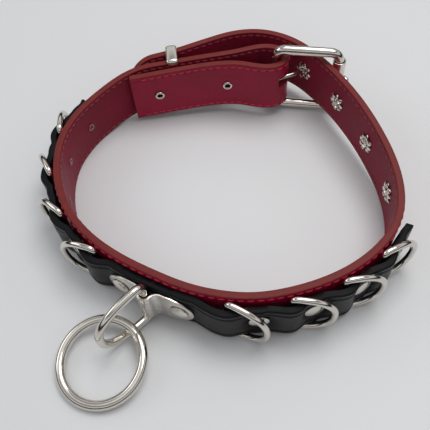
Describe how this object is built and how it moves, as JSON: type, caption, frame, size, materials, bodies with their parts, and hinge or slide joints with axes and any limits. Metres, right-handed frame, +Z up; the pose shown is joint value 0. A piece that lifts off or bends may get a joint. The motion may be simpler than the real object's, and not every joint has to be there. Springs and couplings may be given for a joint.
{
  "type": "buckled ring collar",
  "caption": "Leather collar with a roller buckle, a riveted overlay strap holding swinging D-rings, and a leash bracket with a D-ring and an O-ring.",
  "frame": {"origin": "on the ground under the middle of the collar's box, with the collar standing on its edge", "axes": "+Z up across the strap's width; -Y towards the leash ring at the front, +Y towards the buckle; +X to the right seen from the front"},
  "size_m": [0.1658, 0.1834, 0.0374],
  "materials": {
    "red_leather": "smooth, satin to glossy",
    "lining_leather": "fine grain, matte",
    "black_leather": "matte grain",
    "nickel": "polished nickel plate"
  },
  "bodies": {
    "collar": {"strap_outer_ply": "red_leather", "strap_lining": "lining_leather", "overlay_strap": "black_leather", "leash_bracket": "nickel", "bracket_rivet_left": "nickel", "bracket_rivet_right": "nickel", "overlay_rivet_r1": "nickel", "overlay_rivet_r2": "nickel", "overlay_rivet_r3": "nickel", "overlay_rivet_r4": "nickel", "overlay_rivet_l1": "nickel", "overlay_rivet_l2": "nickel", "overlay_rivet_l3": "nickel", "overlay_rivet_l4": "nickel", "fold_rivet_1": "nickel", "fold_rivet_2": "nickel", "eyelet_1": "nickel", "eyelet_2": "nickel", "eyelet_3": "nickel", "eyelet_4": "nickel"},
    "leash_ring": {"leash_d_ring": "nickel"},
    "o_ring": {"o_ring": "nickel"},
    "ring_r1": {"d_ring_r1": "nickel"},
    "ring_r2": {"d_ring_r2": "nickel"},
    "ring_r3": {"d_ring_r3": "nickel"},
    "ring_r4": {"d_ring_r4": "nickel"},
    "ring_l1": {"d_ring_l1": "nickel"},
    "ring_l2": {"d_ring_l2": "nickel"},
    "ring_l3": {"d_ring_l3": "nickel"},
    "ring_l4": {"d_ring_l4": "nickel"},
    "buckle": {"buckle_frame": "nickel"},
    "roller": {"buckle_roller": "nickel"},
    "tongue": {"buckle_tongue": "nickel"},
    "keeper": {"keeper_loop": "nickel"}
  },
  "joints": [
    {"name": "leash_ring_swing", "type": "hinge", "parent": "collar", "child": "leash_ring", "pos_m": [-0.00195, -0.04922, 0.0145], "axis": [0, 0, 1], "range_deg": [-18, 45]},
    {"name": "o_ring_swing", "type": "hinge", "parent": "leash_ring", "child": "o_ring", "pos_m": [-0.0054, -0.05871, 0.00644], "axis": [-0.9724, 0.2334, 0], "range_deg": [-60, 95]},
    {"name": "ring_r1_swing", "type": "hinge", "parent": "collar", "child": "ring_r1", "pos_m": [0.02777, -0.04182, 0.0127], "axis": [0, 0, -1], "range_deg": [0, 110]},
    {"name": "ring_r2_swing", "type": "hinge", "parent": "collar", "child": "ring_r2", "pos_m": [0.04829, -0.03083, 0.0127], "axis": [0, 0, -1], "range_deg": [0, 110]},
    {"name": "ring_r3_swing", "type": "hinge", "parent": "collar", "child": "ring_r3", "pos_m": [0.06288, -0.01643, 0.0127], "axis": [0, 0, -1], "range_deg": [0, 110]},
    {"name": "ring_r4_swing", "type": "hinge", "parent": "collar", "child": "ring_r4", "pos_m": [0.07216, -0.00027, 0.0127], "axis": [0, 0, -1], "range_deg": [0, 110]},
    {"name": "ring_l1_swing", "type": "hinge", "parent": "collar", "child": "ring_l1", "pos_m": [-0.02704, -0.04255, 0.0127], "axis": [0, 0, 1], "range_deg": [0, 110]},
    {"name": "ring_l2_swing", "type": "hinge", "parent": "collar", "child": "ring_l2", "pos_m": [-0.04811, -0.03369, 0.0127], "axis": [0, 0, 1], "range_deg": [0, 110]},
    {"name": "ring_l3_swing", "type": "hinge", "parent": "collar", "child": "ring_l3", "pos_m": [-0.0638, -0.01854, 0.0127], "axis": [0, 0, 1], "range_deg": [0, 110]},
    {"name": "ring_l4_swing", "type": "hinge", "parent": "collar", "child": "ring_l4", "pos_m": [-0.07327, 0.00266, 0.0127], "axis": [0, 0, 1], "range_deg": [0, 110]},
    {"name": "buckle_swing", "type": "hinge", "parent": "collar", "child": "buckle", "pos_m": [-0.00091, 0.0741, 0.0191], "axis": [0, 0, 1], "range_deg": [0, 3]},
    {"name": "tongue_swing", "type": "hinge", "parent": "collar", "child": "tongue", "pos_m": [-0.00091, 0.0741, 0.0183], "axis": [0, 0, 1], "range_deg": [0, 3]},
    {"name": "roller_spin", "type": "hinge", "parent": "buckle", "child": "roller", "pos_m": [0.02609, 0.0823, 0.0191], "axis": [0, 0, 1], "continuous": true},
    {"name": "keeper_slide", "type": "slide", "parent": "collar", "child": "keeper", "axis": [0.848, 0.5301, 0], "range_m": [-0.002, 0.0012]}
  ],
  "couplings": [
    {"joint": "tongue_swing", "follows": "buckle_swing", "ratio": 1}
  ]
}
